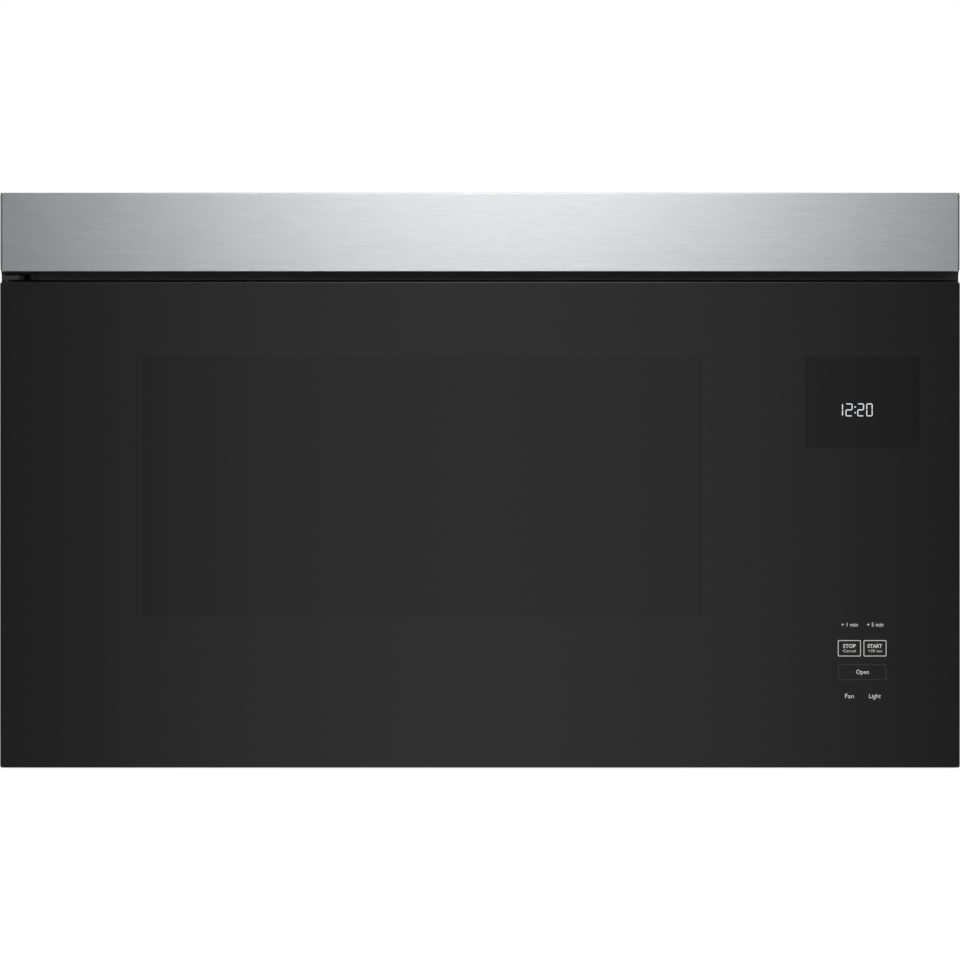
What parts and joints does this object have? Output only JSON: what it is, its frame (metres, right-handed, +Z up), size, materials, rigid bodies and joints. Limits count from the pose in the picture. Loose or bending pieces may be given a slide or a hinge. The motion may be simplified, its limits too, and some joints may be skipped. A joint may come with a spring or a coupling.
{
  "type": "built-in microwave",
  "caption": "Built-in microwave oven with a flush left-hinged black glass door, a brushed steel strip above it, and a vent hood with blower, filters and lamps in its case",
  "frame": {"origin": "Centre of the overall box in plan, at the underside of the case", "axes": "+Z up, -Y towards the cook, +X to the viewer's right when facing the door"},
  "size_m": [0.7588, 0.355, 0.4545],
  "materials": {
    "aluminium": "mill finish",
    "black_glass": "polished, printed behind",
    "black_plastic": "fine moulded grain",
    "black_steel": "black paint",
    "board_green": "circuit board",
    "bright_steel": "bare steel",
    "brushed_steel": "brushed stainless, grain along X",
    "case_paint": "semi-gloss powder paint",
    "cavity_paint": "grey enamel",
    "ceramic": "glass-ceramic, satin",
    "clear_glass": "clear",
    "copper": "enamelled copper winding",
    "filter_black": "pleated carbon media",
    "galvanised": "zinc-coated sheet",
    "iron": "varnished laminations",
    "lens_plastic": "frosted",
    "rubber": "moulded",
    "white_plastic": "smooth moulded"
  },
  "bodies": {
    "case": {"case_wrap": "case_paint", "back_plate": "galvanised", "base_plate": "galvanised", "front_frame": "cavity_paint", "cavity_liner": "cavity_paint", "bay_partition": "galvanised", "steel_strip": "brushed_steel", "strip_carrier": "black_plastic", "charcoal_filter": "filter_black", "outlet_duct": "galvanised", "blower_base": "galvanised", "left_blower_housing": "galvanised", "right_blower_housing": "galvanised", "blower_motor": "bright_steel", "upper_hinge_bracket": "black_steel", "lower_hinge_bracket": "black_steel", "latch_board": "white_plastic", "interlock_switches": "black_plastic", "release_solenoid": "bright_steel", "ceramic_floor": "ceramic", "stirrer_motor": "bright_steel", "waveguide": "galvanised", "magnetron": "aluminium", "transformer_core": "iron", "transformer_windings": "copper", "capacitor": "aluminium", "capacitor_clamp": "galvanised", "diode": "black_plastic", "fan_shroud": "black_plastic", "fan_motor": "iron", "air_guide": "white_plastic", "power_board": "board_green", "cavity_lamp": "white_plastic", "thermal_cutouts": "white_plastic", "lamp_lenses": "lens_plastic", "lamp_boards": "white_plastic", "cord_bushing": "rubber", "cabinet_nuts": "bright_steel", "case_screws": "bright_steel", "hinge_screws": "bright_steel"},
    "door": {"door_glass": "black_glass", "door_frame": "black_plastic", "choke_frame": "cavity_paint", "choke_cover": "black_plastic", "window_screen": "black_steel", "inner_glass": "clear_glass", "display_module": "board_green", "touch_board": "board_green", "hinge_bushes": "white_plastic", "latch_spring": "bright_steel"},
    "latch": {"latch_lever": "white_plastic"},
    "lifter": {"release_lifter": "bright_steel"},
    "vent_rotor": {"left_blower_wheel": "aluminium", "right_blower_wheel": "aluminium", "blower_shaft": "bright_steel"},
    "fan_rotor": {"cooling_fan": "black_plastic"},
    "stirrer": {"stirrer_antenna": "aluminium"},
    "left_filter": {"grease_filter_left": "aluminium"},
    "right_filter": {"grease_filter_right": "aluminium"}
  },
  "joints": [
    {"name": "door_hinge", "type": "hinge", "parent": "case", "child": "door", "pos_m": [-0.3714, -0.168, 0.19], "axis": [0, 0, -1], "range_deg": [0, 95]},
    {"name": "latch_slide", "type": "slide", "parent": "door", "child": "latch", "axis": [0, 0, 1], "range_m": [-0.006, 0], "deforming": ["latch_spring"]},
    {"name": "lifter_slide", "type": "slide", "parent": "case", "child": "lifter", "axis": [0, 0, 1], "range_m": [-0.006, 0]},
    {"name": "vent_spin", "type": "hinge", "parent": "case", "child": "vent_rotor", "pos_m": [0, 0.098, 0.38787], "axis": [1, 0, 0], "continuous": true},
    {"name": "fan_spin", "type": "hinge", "parent": "case", "child": "fan_rotor", "pos_m": [0.2612, 0.0975, 0.1427], "axis": [0, 1, 0], "continuous": true},
    {"name": "stirrer_spin", "type": "hinge", "parent": "case", "child": "stirrer", "pos_m": [-0.0458, 0.00425, 0.098], "axis": [0, 0, 1], "continuous": true},
    {"name": "left_filter_slide", "type": "slide", "parent": "case", "child": "left_filter", "axis": [0, 0, -1], "range_m": [0, 0.03]},
    {"name": "right_filter_slide", "type": "slide", "parent": "case", "child": "right_filter", "axis": [0, 0, -1], "range_m": [0, 0.03]}
  ],
  "couplings": [
    {"joint": "lifter_slide", "follows": "latch_slide", "ratio": 1}
  ]
}
